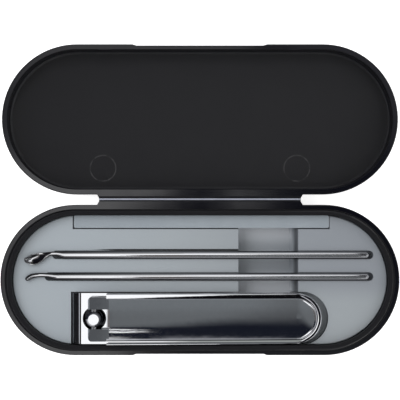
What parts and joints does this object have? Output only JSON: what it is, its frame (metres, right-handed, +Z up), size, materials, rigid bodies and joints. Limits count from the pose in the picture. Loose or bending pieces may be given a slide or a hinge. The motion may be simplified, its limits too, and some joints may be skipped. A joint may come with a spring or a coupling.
{
  "type": "manicure set case",
  "caption": "Slim stadium-shaped hinged case, open flat, with a moulded tray that holds a lever nail clipper, a scoop pick, a hook pick and a nail file.",
  "frame": {"origin": "on the table under the hinge, at the bottom centre of the open case", "axes": "+X along the hinge, +Y from the hinge towards the open lid, +Z up; the base with the tools lies at -Y"},
  "size_m": [0.1284, 0.1002, 0.0138],
  "materials": {
    "case_plastic": "fine matte black",
    "web_plastic": "black, paler where it bends",
    "tray_plastic": "satin blue-grey",
    "pin_steel": "drawn wire",
    "tool_chrome": "polished chrome plate",
    "file_steel": "satin with a fine file cut"
  },
  "bodies": {
    "base": {"base_shell": "case_plastic", "tray_insert": "tray_plastic", "hinge_web": "web_plastic"},
    "lid": {"lid_shell": "case_plastic"},
    "clipper": {"clipper_lower_jaw": "tool_chrome", "clipper_rear_rivets": "tool_chrome"},
    "upper_jaw": {"clipper_upper_jaw": "tool_chrome"},
    "post": {"clipper_post": "tool_chrome", "lever_cross_pin": "pin_steel"},
    "lever": {"clipper_lever": "tool_chrome"},
    "scoop": {"scoop_pick": "tool_chrome"},
    "hook": {"hook_pick": "tool_chrome"},
    "file": {"nail_file": "file_steel"}
  },
  "joints": [
    {"name": "lid_hinge", "type": "hinge", "parent": "base", "child": "lid", "pos_m": [0, 0, 0.0091], "axis": [-1, 0, 0], "range_deg": [-180, 0]},
    {"name": "clipper_lift", "type": "slide", "parent": "base", "child": "clipper", "axis": [0, 0, 1], "range_m": [0, 0.045]},
    {"name": "jaw_squeeze", "type": "hinge", "parent": "clipper", "child": "upper_jaw", "pos_m": [0.02, -0.0382, 0.006], "axis": [0, -1, 0], "range_deg": [0, 1.8], "stiffness_Nm_per_rad": 3},
    {"name": "lever_turn", "type": "hinge", "parent": "clipper", "child": "post", "pos_m": [-0.0339, -0.0382, 0.006], "axis": [0, 0, 1], "range_deg": [0, 180]},
    {"name": "lever_flip", "type": "hinge", "parent": "post", "child": "lever", "pos_m": [-0.0339, -0.0382, 0.0114], "axis": [0, -1, 0], "range_deg": [0, 165]},
    {"name": "scoop_lift", "type": "slide", "parent": "base", "child": "scoop", "axis": [0, 0, 1], "range_m": [0, 0.03]},
    {"name": "hook_lift", "type": "slide", "parent": "base", "child": "hook", "axis": [0, 0, 1], "range_m": [0, 0.03]},
    {"name": "file_lift", "type": "slide", "parent": "base", "child": "file", "axis": [0, 0, 1], "range_m": [0, 0.03]}
  ],
  "couplings": [
    {"joint": "lever_flip", "follows": "lever_turn", "ratio": 0.9166}
  ]
}
